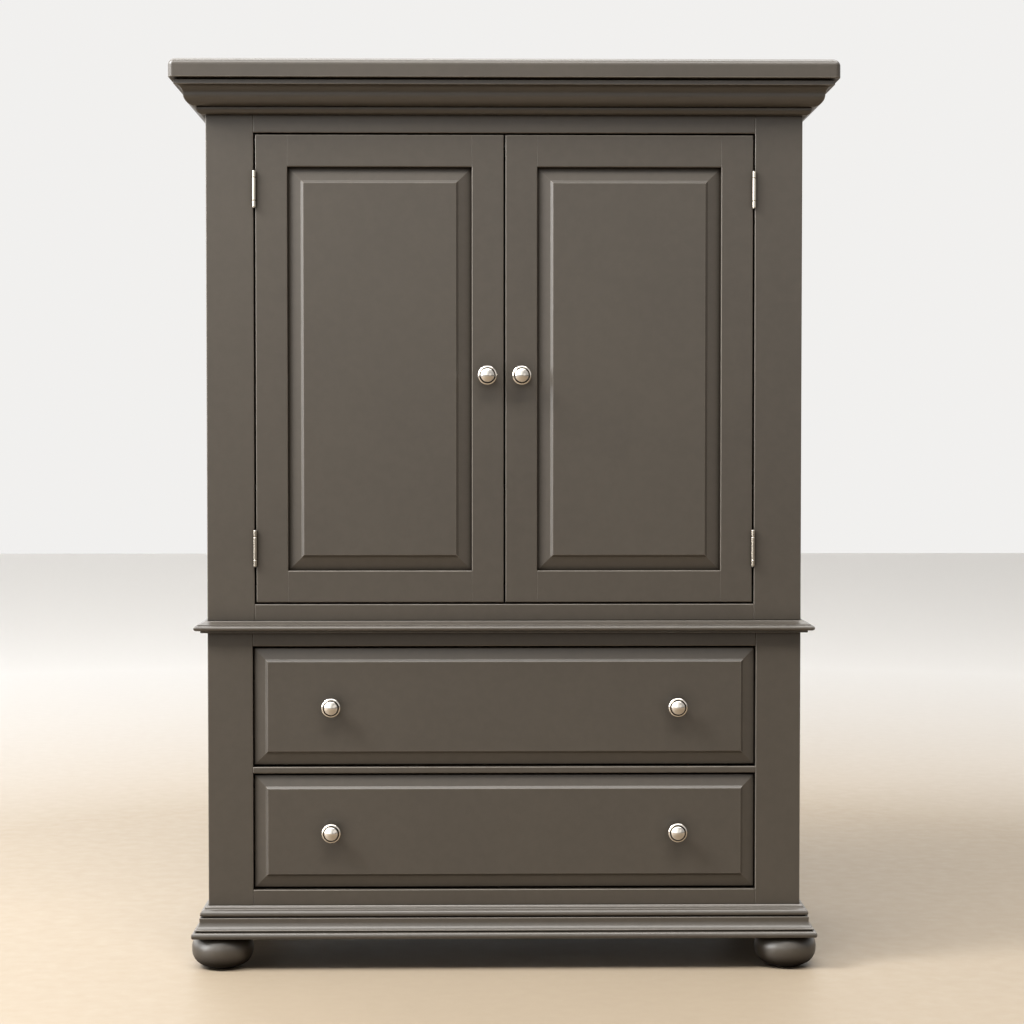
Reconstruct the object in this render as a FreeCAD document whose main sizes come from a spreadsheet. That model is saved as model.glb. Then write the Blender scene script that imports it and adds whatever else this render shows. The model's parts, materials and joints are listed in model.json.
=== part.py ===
import FreeCAD, Part

import os

import Sketcher
from FreeCAD import Placement, Rotation, Vector

# A two-door, two-drawer armoire. X runs across, Y from front to back, Z up from the floor.
# The origin is on the floor, under the centre of the whole piece. The upper case stands on the
# waist board of the lower case. Doors and drawer fronts are set flush in the face frames.

# Driving dimensions, in millimetres. Levels are heights above the floor.
DIMENSIONS = {
    "case_width": 1009.0,
    "case_depth": 530.0,
    "side_board": 19.0,
    "back_board": 6.0,
    "face_board": 20.0,
    "top_projection": 56.0,
    "base_level": 57.0,
    "base_height": 53.0,
    "lower_drawer_low": 136.5,
    "lower_drawer_high": 335.5,
    "upper_drawer_low": 346.5,
    "upper_drawer_high": 552.5,
    "waist_level": 576.0,
    "upper_level": 596.0,
    "door_low": 624.2,
    "door_high": 1421.0,
    "crown_level": 1451.0,
    "top_level": 1506.0,
    "total_height": 1539.0,
    "top_round": 13.0,
    "door_opening": 848.0,
    "door_gap": 3.0,
    "door_stile": 54.0,
    "door_rail": 54.0,
    "groove_depth": 9.0,
    "tongue_depth": 8.0,
    "panel_recess": 8.5,
    "panel_edge": 6.0,
    "panel_border": 27.0,
    "field_recess": 0.5,
    "field_shoulder": 2.2,
    "drawer_opening": 856.0,
    "drawer_gap": 3.0,
    "drawer_side_gap": 1.5,
    "front_board": 22.0,
    "front_edge_recess": 7.0,
    "front_border": 22.5,
    "box_board": 14.0,
    "box_length": 480.0,
    "box_height": 150.0,
    "box_lift": 4.0,
    "box_side_gap": 2.0,
    "bottom_lift": 10.0,
    "bottom_board": 6.0,
    "bottom_groove": 6.0,
    "runner_groove_depth": 7.0,
    "runner_tongue": 18.0,
    "runner_block": 46.0,
    "runner_lift": 66.0,
    "sliding_gap": 0.3,
    "shelf_level": 800.0,
    "shelf_board": 18.0,
    "shelf_setback": 25.0,
    "shelf_gap": 1.0,
    "shelf_pin_radius": 2.5,
    "shelf_pin_reach": 9.0,
    "shelf_hole_depth": 10.0,
    "shelf_hole_pitch": 32.0,
    "shelf_pin_inset": 60.0,
    "rod_level": 1430.0,
    "rod_radius": 16.0,
    "rod_offset": 30.0,
    "socket_flange": 3.0,
    "socket_flange_radius": 26.0,
    "socket_cup": 12.0,
    "socket_cup_radius": 19.5,
    "foot_radius": 52.7,
    "foot_pad_radius": 24.0,
    "foot_side_inset": 21.0,
    "foot_front_inset": 28.0,
    "foot_back_inset": 56.0,
    "bolt_radius": 3.0,
    "bolt_depth": 34.0,
    "knob_radius": 16.5,
    "knob_length": 30.0,
    "knob_cap_radius": 11.0,
    "knob_dome": 3.6,
    "knob_centre": 29.0,
    "knob_level": 1012.0,
    "drawer_knob_centre": 294.0,
    "hinge_inset": 92.0,
    "hinge_length": 61.5,
    "hinge_middle": 38.5,
    "hinge_stand": 3.8,
    "knuckle_radius": 3.4,
    "knuckle_bore": 1.65,
    "knuckle_gap": 0.3,
    "leaf_board": 1.3,
    "leaf_gap": 0.4,
    "leaf_depth": 18.0,
    "leaf_relief": 0.5,
    "pin_radius": 1.6,
    "pin_head_radius": 3.0,
    "pin_head": 1.3,
    "catch_half_width": 23.0,
    "catch_drop": 23.0,
    "catch_rise": 25.0,
    "catch_body": 20.0,
    "catch_gap": 1.8,
    "strike_width": 15.0,
    "strike_board": 1.0,
}

# Expressions that many pieces share
HALF = "Dims.case_width / 2"
INNER = "(Dims.case_width / 2 - Dims.side_board)"
BACK = "(Dims.case_depth + Dims.top_projection) / 2"
FACE = "(Dims.top_projection - Dims.case_depth) / 2"
BEHIND_FACE = f"({FACE} + Dims.face_board)"
BEFORE_BACK = f"({BACK} - Dims.back_board)"
DOOR_HALF = "Dims.door_opening / 2"
DRAWER_HALF = "Dims.drawer_opening / 2"
HINGE_EDGE = "(Dims.door_opening / 2 - Dims.door_gap)"
HINGE_AXIS = "(Dims.door_opening / 2 - Dims.door_gap / 2)"
MEETING_EDGE = "Dims.door_gap / 2"
SHORT_OF_HINGE_STILE = f"({HINGE_EDGE} - Dims.door_stile)"
PAST_MEETING_STILE = f"({MEETING_EDGE} + Dims.door_stile)"
DOOR_BOTTOM = "(Dims.door_low + Dims.door_gap)"
DOOR_TOP = "(Dims.door_high - Dims.door_gap)"
GROOVE_FRONT = f"({FACE} + Dims.panel_recess)"
GROOVE_BACK = f"({FACE} + Dims.panel_recess + Dims.panel_edge)"
HINGE_Y = f"({FACE} - Dims.hinge_stand)"
HINGE_LEVELS = (f"({DOOR_BOTTOM} + Dims.hinge_inset)", f"({DOOR_TOP} - Dims.hinge_inset)")
PIN_LEVEL = "(Dims.shelf_level - Dims.shelf_pin_radius)"
PIN_FRONT = f"({BEHIND_FACE} + Dims.shelf_pin_inset)"
PIN_BACK = f"({BEFORE_BACK} - Dims.shelf_pin_inset)"
BOX_OUTSIDE = f"({DRAWER_HALF} - Dims.box_side_gap)"
BOX_INSIDE = f"({DRAWER_HALF} - Dims.box_side_gap - Dims.box_board)"
BOX_FRONT = f"({FACE} + Dims.front_board)"
BOX_END = f"({FACE} + Dims.front_board + Dims.box_length)"
SIDES = ("left", "right")

doc = FreeCAD.newDocument("Armoire")
sheet = doc.addObject("Spreadsheet::Sheet", "Dims")
for row, (alias, value) in enumerate(DIMENSIONS.items(), start=1):
    sheet.set(f"A{row}", alias)
    sheet.set(f"B{row}", str(value))
    sheet.setAlias(f"B{row}", alias)
doc.recompute()

nodes = {}


def size(alias):
    """A driving dimension, read back from the sheet."""
    return float(sheet.get(alias))


def keep(name, piece):
    """Gives a finished piece the name of its node."""
    piece.Label = name
    nodes[name] = piece
    return piece


def place(piece, x, y, z):
    """Binds a piece's position to three expressions."""
    for axis, expression in zip("xyz", (x, y, z)):
        piece.setExpression(f"Placement.Base.{axis}", str(expression))


def board(name, x, y, z):
    """A square-cut board between a low and a high expression on each axis."""
    piece = doc.addObject("Part::Box", name)
    for length, (low, high) in zip(("Length", "Width", "Height"), (x, y, z)):
        piece.setExpression(length, f"({high}) - ({low})")
    place(piece, x[0], y[0], z[0])
    return piece


def rod(name, radius, length, start, along):
    """A round bar from its start point along +X or +Z."""
    piece = doc.addObject("Part::Cylinder", name)
    piece.setExpression("Radius", str(radius))
    piece.setExpression("Height", str(length))
    if along == "x":
        piece.Placement = Placement(Vector(), Rotation(Vector(0, 1, 0), 90))
    place(piece, *start)
    return piece


def cut(name, base, tool):
    """A base with a tool's volume taken away."""
    piece = doc.addObject("Part::Cut", name)
    piece.Base = base
    piece.Tool = tool
    return piece


def combine(name, kind, shapes):
    """A fusion, an intersection or a group of several shapes."""
    piece = doc.addObject(kind, name)
    if kind == "Part::Compound":
        piece.Links = shapes
    else:
        piece.Shapes = shapes
    return piece


def fuse(name, shapes):
    return combine(name, "Part::MultiFuse", shapes)


def group(name, shapes):
    return combine(name, "Part::Compound", shapes)


def across(side, inner, outer):
    """The range in x between two distances from the centre line, on one side of it."""
    if side == "left":
        return f"-({outer})", f"-({inner})"
    return inner, outer


def both(distance):
    """The range in x that reaches one distance to each side of the centre line."""
    return f"-({distance})", distance


def signed(side, distance):
    """A distance from the centre line as a position in x."""
    return f"-({distance})" if side == "left" else distance


def draw(sketch, outline):
    """Draws an outline: each entry is a line to its point, or an arc through one point to another."""
    start = Vector(*outline[0][-1], 0)
    for entry in outline[1:]:
        points = [Vector(*point, 0) for point in entry]
        if len(points) == 1:
            sketch.addGeometry(Part.LineSegment(start, points[0]), False)
        else:
            sketch.addGeometry(Part.Arc(start, *points), False)
        start = points[-1]
    for index in range(len(outline) - 1):
        sketch.addConstraint(Sketcher.Constraint("Block", index))


def end_at(sketch, edge, point):
    """Which end of a drawn edge, 1 or 2, lies on a point: an arc may be stored either way round."""
    return 1 if sketch.getPoint(edge, 1).isEqual(point, 1e-6) else 2


def moulded_side(name, outline, turn, position, depth, length):
    """A bar whose outer edge has a moulded outline, drawn outwards from one face of the case."""
    sketch = doc.addObject("Sketcher::SketchObject", name + "_outline")
    upright = Rotation(Vector(1, 0, 0), 90)
    sketch.Placement = Placement(Vector(), Rotation(Vector(0, 0, 1), turn).multiply(upright))
    place(sketch, *position)
    draw(sketch, outline)
    first, last = Vector(*outline[0][-1], 0), Vector(*outline[-1][-1], 0)
    inside = -size("case_depth")
    corners = [last, Vector(inside, last.y, 0), Vector(inside, first.y, 0), first]
    top = len(outline) - 1
    for start, end in zip(corners, corners[1:]):
        sketch.addGeometry(Part.LineSegment(start, end), False)
    back = top + 1
    bottom = top + 2
    outline_end = (top - 1, end_at(sketch, top - 1, last))
    outline_start = (0, end_at(sketch, 0, first))
    joints = (
        (*outline_end, top, 1),
        (top, 2, back, 1),
        (back, 2, bottom, 1),
        (bottom, 2, *outline_start),
    )
    for joined in joints:
        sketch.addConstraint(Sketcher.Constraint("Coincident", *joined))
    sketch.addConstraint(Sketcher.Constraint("Horizontal", top))
    sketch.addConstraint(Sketcher.Constraint("Vertical", back))
    sketch.addConstraint(Sketcher.Constraint("Horizontal", bottom))
    reach = sketch.addConstraint(Sketcher.Constraint("DistanceX", back, 1, -1, 1, -inside))
    sketch.setExpression(f"Constraints[{reach}]", depth)
    bar = doc.addObject("Part::Extrusion", name)
    bar.Base = sketch
    bar.DirMode = "Normal"
    bar.Solid = True
    bar.Symmetric = True
    bar.setExpression("LengthFwd", length)
    return bar


def moulded_slab(name, outline, level):
    """A slab over the whole case, with one outline worked along its front and both sides."""
    wide = "2 * Dims.case_width"
    front = moulded_side(name + "_front", outline, -90, ("0", FACE, level), "Dims.case_depth", wide)
    left = moulded_side(name + "_left", outline, 180, (f"-{HALF}", "0", level), wide, wide)
    right = moulded_side(name + "_right", outline, 0, (HALF, "0", level), wide, wide)
    return combine(name, "Part::MultiCommon", [front, left, right])


def mitred_moulding(name, outline, level, height):
    """A moulding round the front and sides of the case: a front length and two mitred returns."""
    block = moulded_slab(name + "_block", outline, level)
    case = board(name + "_case", both(HALF), (FACE, f"{BACK} + Dims.case_depth"),
                 (f"{level} - 1", f"{level} + {height} + 1"))
    ring = cut(name + "_ring", block, case)
    mitre = doc.addObject("Part::Wedge", name + "_mitre")
    reach = "2 * Dims.top_projection"
    bounds = {
        "Xmin": f"-({HALF}) - {reach}", "Xmax": f"{HALF} + {reach}",
        "X2min": f"-({HALF})", "X2max": HALF,
        "Ymin": f"-({reach})", "Ymax": "0",
        "Zmin": "-1", "Z2min": "-1",
        "Zmax": f"{height} + 1", "Z2max": f"{height} + 1",
    }
    for edge, expression in bounds.items():
        mitre.setExpression(edge, expression)
    place(mitre, "0", FACE, level)
    keep(name + "_front", combine(name + "_front", "Part::MultiCommon", [ring, mitre]))
    keep(name + "_returns", cut(name + "_returns", ring, mitre))


def raised_field(name, x, z, border, edge, shoulder, face):
    """A bevelled border that rises from its edge plane to a shoulder, and the flat field inside."""
    bevel = doc.addObject("Part::Wedge", name + "_bevel")
    bounds = {
        "Xmin": f"{x[0]} + {border}", "Xmax": f"{x[1]} - {border}",
        "X2min": x[0], "X2max": x[1],
        "Ymin": shoulder, "Ymax": edge,
        "Zmin": f"{z[0]} + {border}", "Zmax": f"{z[1]} - {border}",
        "Z2min": z[0], "Z2max": z[1],
    }
    for bound, expression in bounds.items():
        bevel.setExpression(bound, expression)
    field_x = (f"{x[0]} + {border}", f"{x[1]} - {border}")
    field_z = (f"{z[0]} + {border}", f"{z[1]} - {border}")
    field = board(name + "_field", field_x, (face, shoulder), field_z)
    return [bevel, field]


def turned(name, outline):
    """A piece turned about its own Z axis from half its outline."""
    body = doc.addObject("PartDesign::Body", name)
    sketch = body.newObject("Sketcher::SketchObject", name + "_outline")
    planes = {feature.Role: feature for feature in body.Origin.OriginFeatures}
    sketch.AttachmentSupport = [(planes["XZ_Plane"], "")]
    sketch.MapMode = "FlatFace"
    draw(sketch, outline + [outline[0]])
    revolution = body.newObject("PartDesign::Revolution", name + "_turning")
    revolution.Profile = sketch
    revolution.ReferenceAxis = (sketch, ["V_Axis"])
    revolution.Angle = 360
    return body


# Case boards

def shelf_holes(side):
    """Two columns of holes for the shelf pins, bored into one side board."""
    holes = []
    for column, depth in (("front", PIN_FRONT), ("back", PIN_BACK)):
        for step in range(-2, 3):
            level = f"{PIN_LEVEL} + {step} * Dims.shelf_hole_pitch"
            start = across(side, INNER, f"{INNER} + Dims.shelf_hole_depth")[0]
            hole = rod(f"shelf_hole_{side}_{column}_{step + 2}", "Dims.shelf_pin_radius",
                       "Dims.shelf_hole_depth", (start, depth, level), "x")
            holes.append(hole)
    return group(f"shelf_holes_{side}", holes)


def build_upper_case():
    upper_z = ("Dims.upper_level", "Dims.top_level")
    depth = (BEHIND_FACE, BACK)
    frame = (FACE, BEHIND_FACE)
    for side in SIDES:
        blank = board(f"upper_side_{side}_blank", across(side, INNER, HALF), depth, upper_z)
        keep(f"upper_side_{side}", cut(f"upper_side_{side}", blank, shelf_holes(side)))
        stile = board(f"upper_stile_{side}", across(side, DOOR_HALF, HALF), frame, upper_z)
        keep(f"upper_stile_{side}", stile)
    keep("upper_back", board("upper_back", both(INNER), (BEFORE_BACK, BACK), upper_z))
    floor_z = ("Dims.door_low - Dims.side_board", "Dims.door_low")
    keep("upper_floor", board("upper_floor", both(INNER), (BEHIND_FACE, BEFORE_BACK), floor_z))
    rail_z = ("Dims.door_high", "Dims.top_level")
    keep("upper_top_rail", board("upper_top_rail", both(DOOR_HALF), frame, rail_z))
    rail_z = ("Dims.upper_level", "Dims.door_low")
    keep("upper_bottom_rail", board("upper_bottom_rail", both(DOOR_HALF), frame, rail_z))


def build_lower_case():
    frame = (FACE, BEHIND_FACE)
    floor_z = ("Dims.base_level", "Dims.base_level + Dims.side_board")
    wall_z = ("Dims.base_level + Dims.side_board", "Dims.waist_level")
    frame_z = ("Dims.base_level", "Dims.waist_level")
    for side in SIDES:
        wall = board(f"lower_side_{side}", across(side, INNER, HALF), (BEHIND_FACE, BACK), wall_z)
        keep(f"lower_side_{side}", wall)
        stile = board(f"lower_stile_{side}", across(side, DRAWER_HALF, HALF), frame, frame_z)
        keep(f"lower_stile_{side}", stile)
    keep("lower_back", board("lower_back", both(INNER), (BEFORE_BACK, BACK), wall_z))
    floor = board("lower_floor_blank", both(HALF), (BEHIND_FACE, BACK), floor_z)
    bores = []
    for name, x, y in foot_places():
        bores.append(rod(f"{name}_bore", "Dims.bolt_radius", "Dims.side_board",
                         (x, y, "Dims.base_level"), "z"))
    keep("lower_floor", cut("lower_floor", floor, group("floor_bores", bores)))
    rails = (
        ("lower_top_rail", "Dims.upper_drawer_high", "Dims.waist_level"),
        ("drawer_divider_rail", "Dims.lower_drawer_high", "Dims.upper_drawer_low"),
        ("lower_bottom_rail", "Dims.base_level", "Dims.lower_drawer_low"),
    )
    for name, low, high in rails:
        keep(name, board(name, both(DRAWER_HALF), frame, (low, high)))


# Mouldings

def build_top_board():
    """The overhanging top, with a rounded upper edge."""
    out = size("top_projection")
    thick = size("total_height") - size("top_level")
    bend = size("top_round")
    corner = bend * (1 - 0.5 ** 0.5)
    outline = [
        [(out, 0)],
        [(out, thick - bend)],
        [(out - corner, thick - corner), (out - bend, thick)],
    ]
    keep("top_board", moulded_slab("top_board", outline, "Dims.top_level"))


def build_crown():
    """From below: an ovolo, a step, a cyma that is hollow above, and a plain fillet."""
    high = size("top_level") - size("crown_level")
    fillet = high - 10.6
    outline = [
        [(7, 0)],
        [(12, 3.6), (13.6, 10.8)],
        [(13.6, 12.2)],
        [(18.5, 12.2)],
        [(29.2, 18.8), (33.4, 31.6)],
        [(36.3, 39.7), (43.6, fillet)],
        [(47.6, fillet)],
        [(47.6, high)],
    ]
    mitred_moulding("crown", outline, "Dims.crown_level", "Dims.top_level - Dims.crown_level")


def build_waist_board():
    """From below: a step, a bullnose and a cove up to the foot of the upper case."""
    thick = size("upper_level") - size("waist_level")
    outline = [
        [(11, 0)],
        [(11, 3.5)],
        [(17.2, 3.5)],
        [(21.7, 8), (17.2, 12.5)],
        [(10.4, 14.6), (7, thick)],
    ]
    keep("waist_board", moulded_slab("waist_board", outline, "Dims.waist_level"))


def build_base_moulding():
    """From below: a torus, a cove, a straight fillet, a groove and an upper round."""
    high = size("base_height")
    outline = [
        [(25.5, 0)],
        [(26.5, 6), (22.9, 11)],
        [(20.5, 12)],
        [(16, 19.5), (14, 29)],
        [(14, 34.6)],
        [(12, 34.6)],
        [(12, 37)],
        [(13.2, 41), (9, 47)],
        [(5, 50.4)],
        [(2.6, high)],
    ]
    mitred_moulding("base", outline, "Dims.base_level", "Dims.base_height")


# Feet

def foot_places():
    """Name and position of each foot's centre."""
    places = []
    rows = (("front", f"{FACE} + Dims.foot_front_inset"), ("back", f"{BACK} - Dims.foot_back_inset"))
    for row_name, y in rows:
        for side in SIDES:
            x = signed(side, f"{HALF} - Dims.foot_side_inset")
            places.append((f"foot_{row_name}_{side}", x, y))
    return places


def build_feet():
    """Bun feet, each held by a headless dowel bolt that runs up into the floor board."""
    high = size("base_level")
    belly = size("foot_radius")
    pad = size("foot_pad_radius")
    bore = size("bolt_radius")
    deep = high - size("bolt_depth")
    outline = [
        [(0, 0)],
        [(pad, 0)],
        [(45, 10.6), (belly, 0.53 * high)],
        [(50, 0.77 * high), (40, high)],
        [(bore, high)],
        [(bore, deep)],
        [(0, deep)],
    ]
    bolts = []
    for name, x, y in foot_places():
        foot = turned(name, outline)
        place(foot, x, y, "0")
        keep(name, foot)
        bolts.append(rod(f"{name}_bolt", "Dims.bolt_radius", "Dims.bolt_depth + Dims.side_board",
                         (x, y, "Dims.base_level - Dims.bolt_depth"), "z"))
    keep("foot_bolts", group("foot_bolts", bolts))


# Inside the upper case

def build_interior():
    shelf_x = both(f"{INNER} - Dims.shelf_gap")
    shelf_y = (f"{BEHIND_FACE} + Dims.shelf_setback", f"{BEFORE_BACK} - Dims.shelf_gap")
    shelf_z = ("Dims.shelf_level", "Dims.shelf_level + Dims.shelf_board")
    keep("shelf", board("shelf", shelf_x, shelf_y, shelf_z))

    pins, sockets = [], []
    for side in SIDES:
        start = across(side, f"{INNER} - Dims.shelf_pin_reach", f"{INNER} + Dims.shelf_hole_depth")[0]
        for column, depth in (("front", PIN_FRONT), ("back", PIN_BACK)):
            pins.append(rod(f"shelf_pin_{side}_{column}", "Dims.shelf_pin_radius",
                            "Dims.shelf_pin_reach + Dims.shelf_hole_depth",
                            (start, depth, PIN_LEVEL), "x"))
        cup_mouth = f"{INNER} - Dims.socket_flange - Dims.socket_cup"
        flange_start = across(side, f"{INNER} - Dims.socket_flange", INNER)[0]
        cup_start = across(side, cup_mouth, f"{INNER} - Dims.socket_flange")[0]
        flange = rod(f"socket_flange_{side}", "Dims.socket_flange_radius", "Dims.socket_flange",
                     (flange_start, "Dims.rod_offset", "Dims.rod_level"), "x")
        cup = rod(f"socket_cup_{side}", "Dims.socket_cup_radius", "Dims.socket_cup",
                  (cup_start, "Dims.rod_offset", "Dims.rod_level"), "x")
        bore = rod(f"socket_bore_{side}", "Dims.rod_radius", "Dims.socket_cup",
                   (cup_start, "Dims.rod_offset", "Dims.rod_level"), "x")
        sockets.append(cut(f"rod_socket_{side}", fuse(f"socket_{side}", [flange, cup]), bore))
    keep("shelf_pins", group("shelf_pins", pins))
    keep("rod_sockets", group("rod_sockets", sockets))
    rod_half = f"({INNER} - Dims.socket_flange)"
    bar = rod("clothes_rod", "Dims.rod_radius", f"2 * {rod_half}",
              (f"-{rod_half}", "Dims.rod_offset", "Dims.rod_level"), "x")
    keep("clothes_rod", bar)

    catch_x = both("Dims.catch_half_width")
    catch_back = f"{BEHIND_FACE} + Dims.catch_body"
    foot_z = ("Dims.door_high", "Dims.door_high + Dims.catch_rise")
    magnet_z = ("Dims.door_high - Dims.catch_drop", "Dims.door_high")
    foot = board("catch_foot", catch_x, (BEHIND_FACE, catch_back), foot_z)
    magnet = board("catch_magnet", catch_x, (f"{BEHIND_FACE} + Dims.catch_gap", catch_back), magnet_z)
    keep("door_catch", fuse("door_catch", [foot, magnet]))


# Hinges

def hinge_leaf(name, side, level, plate_x, knuckles):
    """One leaf: a plate in the gap, and the knuckles that join it to the pin's axis."""
    plate_start = f"{HINGE_Y} + Dims.knuckle_radius + Dims.leaf_relief"
    whole = (f"{level} - Dims.hinge_length / 2", f"{level} + Dims.hinge_length / 2")
    pieces = [board(f"{name}_plate", plate_x, (plate_start, f"{FACE} + Dims.leaf_depth"), whole)]
    axis = (signed(side, HINGE_AXIS), HINGE_Y)
    for index, (low, high) in enumerate(knuckles):
        pieces.append(board(f"{name}_web_{index}", plate_x, (HINGE_Y, plate_start), (low, high)))
        pieces.append(rod(f"{name}_knuckle_{index}", "Dims.knuckle_radius", f"({high}) - ({low})",
                          (*axis, low), "z"))
    bore = rod(f"{name}_bore", "Dims.knuckle_bore", "Dims.hinge_length", (*axis, whole[0]), "z")
    return cut(name, fuse(f"{name}_solid", pieces), bore)


def hinge_frame_leaf(side, number, level):
    inner = f"{HINGE_AXIS} + Dims.leaf_gap / 2"
    outer = f"{HINGE_AXIS} + Dims.leaf_gap / 2 + Dims.leaf_board"
    below = (f"{level} - Dims.hinge_length / 2", f"{level} - Dims.hinge_middle / 2 - Dims.knuckle_gap")
    above = (f"{level} + Dims.hinge_middle / 2 + Dims.knuckle_gap", f"{level} + Dims.hinge_length / 2")
    name = f"frame_leaf_{side}_{number}"
    return hinge_leaf(name, side, level, across(side, inner, outer), (below, above))


def hinge_door_leaf(side, number, level):
    inner = f"{HINGE_AXIS} - Dims.leaf_gap / 2 - Dims.leaf_board"
    outer = f"{HINGE_AXIS} - Dims.leaf_gap / 2"
    middle = (f"{level} - Dims.hinge_middle / 2", f"{level} + Dims.hinge_middle / 2")
    name = f"door_leaf_{side}_{number}"
    return hinge_leaf(name, side, level, across(side, inner, outer), (middle,))


def hinge_pin(side, number, level):
    axis = (signed(side, HINGE_AXIS), HINGE_Y)
    low = f"{level} - Dims.hinge_length / 2"
    name = f"pin_{side}_{number}"
    shaft = rod(f"{name}_shaft", "Dims.pin_radius", "Dims.hinge_length", (*axis, low), "z")
    heads = []
    for end, start in (("low", f"{low} - Dims.pin_head"), ("high", f"{level} + Dims.hinge_length / 2")):
        heads.append(rod(f"{name}_{end}", "Dims.pin_head_radius", "Dims.pin_head", (*axis, start), "z"))
    return fuse(name, [shaft] + heads)


def build_frame_hinges():
    leaves, pins = [], []
    for side in SIDES:
        for number, level in enumerate(HINGE_LEVELS):
            leaves.append(hinge_frame_leaf(side, number, level))
            pins.append(hinge_pin(side, number, level))
    keep("hinge_frame_leaves", group("hinge_frame_leaves", leaves))
    keep("hinge_pins", group("hinge_pins", pins))


# Knobs

def knob_outline():
    """Half of a knob: foot, neck, rolled rim and a cap that ends in part of a sphere."""
    tip = size("knob_length")
    rim = size("knob_radius")
    cap = size("knob_cap_radius")
    rise = size("knob_dome")
    dome = (cap ** 2 + rise ** 2) / (2 * rise)
    halfway = cap / 2
    crest = tip - dome + (dome ** 2 - halfway ** 2) ** 0.5
    return [
        [(0, 0)],
        [(8, 0)],
        [(8, 2)],
        [(5.5, 4)],
        [(5.5, 12)],
        [(8.2, 17.2), (rim - 0.5, 19.6)],
        [(rim, 21), (rim - 1.1, 22.8)],
        [(cap + 0.6, 24.2)],
        [(cap, tip - rise)],
        [(halfway, crest), (0, tip)],
    ]


def knob(name, x, z):
    """A turned knob that stands out from a front, with its foot on the face."""
    piece = turned(name, knob_outline())
    piece.Placement = Placement(Vector(), Rotation(Vector(1, 0, 0), 90))
    place(piece, x, FACE, z)
    return piece


# Doors

def build_door(side):
    """Frame-and-panel door: grooved stiles, tongued and grooved rails, one raised panel."""
    prefix = f"{side}_door"
    thickness = (FACE, BEHIND_FACE)
    groove_y = (GROOVE_FRONT, GROOVE_BACK)
    door_z = (DOOR_BOTTOM, DOOR_TOP)

    stiles = (
        ("hinge_stile", SHORT_OF_HINGE_STILE, HINGE_EDGE,
         SHORT_OF_HINGE_STILE, f"{SHORT_OF_HINGE_STILE} + Dims.groove_depth"),
        ("meeting_stile", MEETING_EDGE, PAST_MEETING_STILE,
         f"{PAST_MEETING_STILE} - Dims.groove_depth", PAST_MEETING_STILE),
    )
    for part, inner, outer, groove_inner, groove_outer in stiles:
        name = f"{prefix}_{part}"
        blank = board(f"{name}_blank", across(side, inner, outer), thickness, door_z)
        groove = board(f"{name}_groove", across(side, groove_inner, groove_outer), groove_y, door_z)
        keep(name, cut(name, blank, groove))

    rail_x = across(side, PAST_MEETING_STILE, SHORT_OF_HINGE_STILE)
    tenon_x = across(side, f"{PAST_MEETING_STILE} - Dims.groove_depth",
                     f"{SHORT_OF_HINGE_STILE} + Dims.groove_depth")
    top_low = f"({DOOR_TOP} - Dims.door_rail)"
    bottom_high = f"({DOOR_BOTTOM} + Dims.door_rail)"
    rails = (
        ("top_rail", top_low, DOOR_TOP, top_low, f"{top_low} + Dims.groove_depth"),
        ("bottom_rail", DOOR_BOTTOM, bottom_high, f"{bottom_high} - Dims.groove_depth", bottom_high),
    )
    for part, low, high, groove_low, groove_high in rails:
        name = f"{prefix}_{part}"
        blank = board(f"{name}_blank", rail_x, thickness, (low, high))
        tenons = board(f"{name}_tenons", tenon_x, groove_y, (low, high))
        groove = board(f"{name}_groove", tenon_x, groove_y, (groove_low, groove_high))
        keep(name, cut(name, fuse(f"{name}_tenoned", [blank, tenons]), groove))

    edge_x = across(side, f"{PAST_MEETING_STILE} - Dims.tongue_depth",
                    f"{SHORT_OF_HINGE_STILE} + Dims.tongue_depth")
    edge_z = (f"{bottom_high} - Dims.tongue_depth", f"{top_low} + Dims.tongue_depth")
    tongue = board(f"{prefix}_panel_tongue", edge_x, groove_y, edge_z)
    field_face = f"{FACE} + Dims.field_recess"
    shoulder = f"{FACE} + Dims.field_recess + Dims.field_shoulder"
    raised = raised_field(f"{prefix}_panel", rail_x, (bottom_high, top_low), "Dims.panel_border",
                          GROOVE_FRONT, shoulder, field_face)
    keep(f"{prefix}_panel", fuse(f"{prefix}_panel", [tongue] + raised))

    knob_x = signed(side, "Dims.knob_centre")
    keep(f"{prefix}_knob", knob(f"{prefix}_knob", knob_x, "Dims.knob_level"))
    leaves = [hinge_door_leaf(side, number, level) for number, level in enumerate(HINGE_LEVELS)]
    keep(f"{prefix}_hinge_leaves", group(f"{prefix}_hinge_leaves", leaves))
    strike_x = across(side, "2 * Dims.door_gap", "2 * Dims.door_gap + Dims.strike_width")
    strike_y = (BEHIND_FACE, f"{BEHIND_FACE} + Dims.strike_board")
    strike_z = (f"{DOOR_TOP} - Dims.door_gap - Dims.strike_width", f"{DOOR_TOP} - Dims.door_gap")
    keep(f"{prefix}_strike", board(f"{prefix}_strike", strike_x, strike_y, strike_z))


# Drawers

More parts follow.
